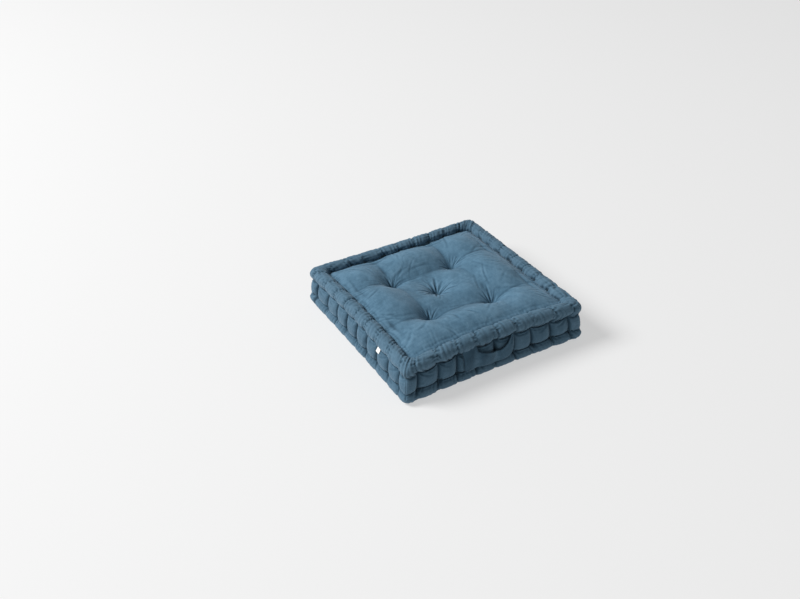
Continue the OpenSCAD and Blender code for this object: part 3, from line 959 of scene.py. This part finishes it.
def stitch(row, cc):
    """A short loop of twine over a seam, from one side of the valley to the other."""
    cc %= 4 * N
    middle = (ring[row, cc] + ring[row, (cc + 1) % (4 * N)]) / 2
    if row == RTI:
        ends = panel_near(cc, 2), ring[row + 2, cc]
    elif row == RBI:
        ends = ring[row - 2, cc], base_panel[border_at[cc]]
    else:
        ends = ring[row - 2, cc], ring[row + 2, cc]
    lift = cover["out"][cc] * 1.0 * MM if row in (RTO, RBO) else np.array((0, 0, 1.0 * MM if row == RTI else 0))
    a, c = (middle + 0.8 * (e - middle) + lift for e in ends)
    return arc_through(a, middle + lift * 1.3, c)


square = border_index(N)
border_at = {int(square[r, c]): (min(max(r, 2), N - 2), min(max(c, 2), N - 2))
             for r, c in np.argwhere(square >= 0)}
TWINE_R, THREAD_R, FINE_THREAD_R = 0.8 * MM, 0.45 * MM, 0.3 * MM
for name, pairs in (("top_edge_stitches", ((RTI, 0), (RTO, 1))), ("base_edge_stitches", ((RBO, 1), (RBI, 0)))):
    paths = [stitch(row, pinch[which]) for row, which in pairs for pinch in cover["pinches"]]
    dress(many_tubes(f"twine_{name}", paths, TWINE_R), twine, name)

back = 2 * N + N // 2  # the closing seam, hand-sewn, in the middle of the back
low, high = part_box("closing_stitches")
count = 15  # stitches in the closing seam
spacing = (high.x - low.x) / count / (2 * REACH / N)
paths = []
for k in range(count):
    cc = int(round(back + (k - (count - 1) / 2) * spacing))
    a, b, c = ring[RBO - 2, cc], ring[RBO, cc + 1], ring[RBO + 2, cc + 1]
    paths.append(arc_through(a, b, c) + cover["out"][cc] * 0.6 * MM)
dress(many_tubes("thread_closing_seam", paths, THREAD_R), thread, "closing_stitches")

for name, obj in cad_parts.items():
    if name.startswith("tuft_tie_"):
        obj.data.materials.clear()
        obj.data.materials.append(twine)


# ---------------------------------------------------------------- the carry strap
def skin(i, along, up, reach=4 * MM):
    """How far out the cover of side i stands at each (along, up), the highest thereabouts."""
    cols = np.arange(i * N, (i + 1) * N)
    part = ring[RTO:RBI - 4][:, cols].reshape(-1, 3)
    way, out = np.array(turned(1, 0, i)), np.array(turned(0, -1, i))
    p_along, p_out = part[:, :2] @ way, part[:, :2] @ out
    d2 = (np.ravel(along)[:, None] - p_along) ** 2 + (np.ravel(up)[:, None] - part[:, 2]) ** 2
    found = np.where(d2 < reach ** 2, p_out, -1.0).max(1)
    nearest = p_out[d2.argmin(1)]
    return np.where(found > 0, found, nearest).reshape(np.shape(along))


def spline(points, count):
    """Evenly spaced points on a smooth curve through the given ones."""
    p = np.asarray(points, float)
    for _ in range(4):
        p = finer(p, 0)
    run_ = np.concatenate([[0], np.cumsum(np.linalg.norm(np.diff(p, axis=0), axis=1))])
    at = np.linspace(0, run_[-1], count)
    return np.stack([np.interp(at, run_, p[:, k]) for k in range(p.shape[1])], 1)


strap_low, strap_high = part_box("handle_strap")
strap_mid = (strap_low.x + strap_high.x) / 2
# outer and inner edges of the strap as it hangs, in mm from its middle and from the floor: the left arm falls
# straight, the loop lies broad and flat on the band, and the right arm climbs and is gathered into its stitch
OUTER = ((-66, 77), (-66, 64), (-66, 50), (-65.5, 38), (-62, 30), (-49, 28), (-30, 28), (-11, 26),
         (11, 23), (31, 24), (46, 28), (55, 36), (59, 46), (62, 58), (65, 73))
INNER = ((-28, 77), (-28, 74), (-28, 71), (-28, 68), (-28, 65.5), (-27, 63), (-19, 60.5), (-7, 57),
         (7, 53), (18, 50.5), (26, 52), (37, 58), (47, 65), (54, 70.5), (57, 74))
LENGTHWISE, ACROSS = 121, 25
outer, inner_edge = spline(np.array(OUTER) * MM, LENGTHWISE), spline(np.array(INNER) * MM, LENGTHWISE)
s = np.linspace(0, 1, ACROSS)[None, :, None]
flat = outer[:, None] * (1 - s) + inner_edge[:, None] * s
strap_x, strap_z = flat[..., 0] + strap_mid, flat[..., 1]
lie = skin(0, strap_x, strap_z)
for _ in range(6):
    lie = np.maximum(lie, blurred(lie[..., None], 3)[..., 0])
lie = blurred(lie[..., None], 8)[..., 0]
along_strap = np.linspace(0, 1, LENGTHWISE)[:, None]
across_strap = np.linspace(0, 1, ACROSS)[None, :]
loose = np.sin(math.pi * along_strap) ** 1.5
fold = 0.9 * MM * np.sin(across_strap * math.pi * 3 + 4 * along_strap) * np.exp(-((along_strap - 0.93) / 0.1) ** 2)
fold = fold + 0.5 * MM * np.sin(across_strap * 9 + 1.5) * np.exp(-((along_strap - 0.3) / 0.08) ** 2)
out_by = lie + 1.6 * MM + loose * (0.5 + 1.3 * across_strap ** 1.5) * MM + fold
strap_grid = np.stack([strap_x, -out_by, strap_z], -1)
strap_grid = strap_grid[:, ::-1]
STRAP_T = 2.2 * MM
# painted shade: the strap's valleys and both of its edges darker, its ridges paler
shade_and_wear = np.tanh(raised(strap_grid) - 0.6 * np.exp(-np.minimum(across_strap, 1 - across_strap) / 0.03))
length = np.linalg.norm(np.diff(strap_grid[:, ACROSS // 2], axis=0), axis=1).sum()
uv = np.stack(np.broadcast_arrays(across_strap * 0.038, along_strap * length), -1)
strap = shell("strap", strap_grid, uv, shade_and_wear, STRAP_T)
dress(strap, strap_cloth, "handle_strap", body=None)  # its transform is baked below

normal = facing(strap_grid)
paths = []
for edge_at in (2, ACROSS - 3):
    line = strap_grid[:, edge_at] + normal[:, edge_at] * 0.15 * MM
    dash = spline(line, 190)
    paths += [dash[k:k + 4] for k in range(2, 186, 5)]
strap_thread = many_tubes("strap_topstitching", paths, FINE_THREAD_R, 6)
strap_thread.data.materials.append(thread)
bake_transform(strap)
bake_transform(strap_thread)

# close-set bar tacks that hold the strap's two ends to the seam under the roll
paths = []
for column in (4, LENGTHWISE - 5):
    row = strap_grid[column] + normal[column] * 0.3 * MM
    ahead = (strap_grid[column + 1] - strap_grid[column - 1])
    ahead /= np.linalg.norm(ahead, axis=1, keepdims=True)
    for k in range(1, ACROSS - 1):
        for part in (0, 1):
            a = row[k] * (1 - part * 0.5) + row[min(k + 1, ACROSS - 1)] * part * 0.5
            paths.append(np.linspace(a - ahead[k] * 1.6 * MM, a + ahead[k] * 1.6 * MM, 4))
tacks = many_tubes("thread_bar_tacks", paths, FINE_THREAD_R, 6)
dress(tacks, thread, "handle_bar_tacks", body=None)
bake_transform(tacks)  # they go with the cloth they are sewn through

# ---------------------------------------------------------------- the label, a blank folded tab
low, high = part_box("label_tab")
wide, tall = high.y - low.y, high.z - low.z
v, u = np.meshgrid(np.linspace(0, 1, 17), np.linspace(0, 1, 21), indexing="ij")
label_y, label_z = high.y - u * wide, high.z + 1.5 * MM - v * tall
surface = skin(3, -label_y, label_z, 3 * MM)
hang = surface[0].mean() * (1 - v) + max(surface[-1].max(), surface[-3].max()) * v
hang = np.maximum(hang, surface + 0.3 * MM) + 0.8 * MM + 0.5 * MM * np.sin(u * 3.1) * v
label_grid = blurred(np.stack([-hang, label_y, label_z], -1), 3)
uv = np.stack([u * wide, v * tall], -1)
label = shell("label", label_grid, uv, np.zeros(u.shape), 0.9 * MM)
dress(label, label_cloth, "label_tab", body=None)
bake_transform(label)
normal = facing(label_grid)
paths = [np.linspace(label_grid[2, k], label_grid[2, k + 1], 4) + normal[2, k] * 0.1 * MM for k in range(1, 19, 2)]
label_thread = many_tubes("label_stitches", paths, 0.2 * MM, 6)
label_thread.data.materials.append(label_cloth)
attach(label_thread, "cushion")

# ---------------------------------------------------------------- floor, light and camera
FLOOR_HALF, FLOOR_TONE, FLOOR_GLOW, WORLD_GLOW = 9, 0.34, 0.50, 0.25
corners = np.array([(-1, -1, 0), (1, -1, 0), (1, 1, 0), (-1, 1, 0)], float) * FLOOR_HALF
floor = mesh_object("floor", corners, [np.array([[0, 1, 2, 3]])])
floor_mat, tree, bsdf = material("floor", (FLOOR_TONE,) * 3, 0.9)
bsdf.inputs["Emission Color"].default_value = (1, 1, 1, 1)
bsdf.inputs["Emission Strength"].default_value = FLOOR_GLOW
floor.data.materials.append(floor_mat)

world = bpy.data.worlds.new("studio")
bpy.context.scene.world = world
world.use_nodes = True
world.node_tree.nodes["Background"].inputs["Color"].default_value = (1, 1, 1, 1)
world.node_tree.nodes["Background"].inputs["Strength"].default_value = WORLD_GLOW
bpy.context.scene.view_settings.view_transform = "Standard"


def softbox(name, direction, distance, size, power):
    light = bpy.data.lights.new(name, "AREA")
    light.shape, light.size, light.energy = "DISK", size, power
    obj = bpy.data.objects.new(name, light)
    bpy.context.scene.collection.objects.link(obj)
    way = Vector(direction).normalized()
    obj.location = way * distance
    obj.rotation_euler = way.to_track_quat("Z", "Y").to_euler()


softbox("key", (-0.84, 0.46, 0.90), distance=8.0, size=3.6, power=790)  # from the back left

# the photograph's angle: from the front left, a third of the way up
AZIMUTH, ELEVATION, ROLL = (math.radians(a) for a in (-28.91, 34.26, -1.49))
DISTANCE, OFF_X, OFF_Y = 2.1933, -0.0945, 0.0441
SENSOR, LENS = 36, 43.23
level = math.cos(ELEVATION)
back_way = Vector((math.sin(AZIMUTH) * level, -math.cos(AZIMUTH) * level, math.sin(ELEVATION)))
right_way = Vector((0, 0, 1)).cross(back_way).normalized()
up_way = back_way.cross(right_way)
right_way, up_way = (math.cos(ROLL) * right_way + math.sin(ROLL) * up_way,
                     -math.sin(ROLL) * right_way + math.cos(ROLL) * up_way)
camera = bpy.data.objects.new("camera", bpy.data.cameras.new("camera"))
bpy.context.scene.collection.objects.link(camera)
camera.matrix_world = Matrix.Translation(right_way * OFF_X + up_way * OFF_Y + back_way * DISTANCE) @ Matrix(
    (right_way, up_way, back_way)).transposed().to_4x4()
camera.data.sensor_width, camera.data.lens = SENSOR, LENS
bpy.context.scene.camera = camera
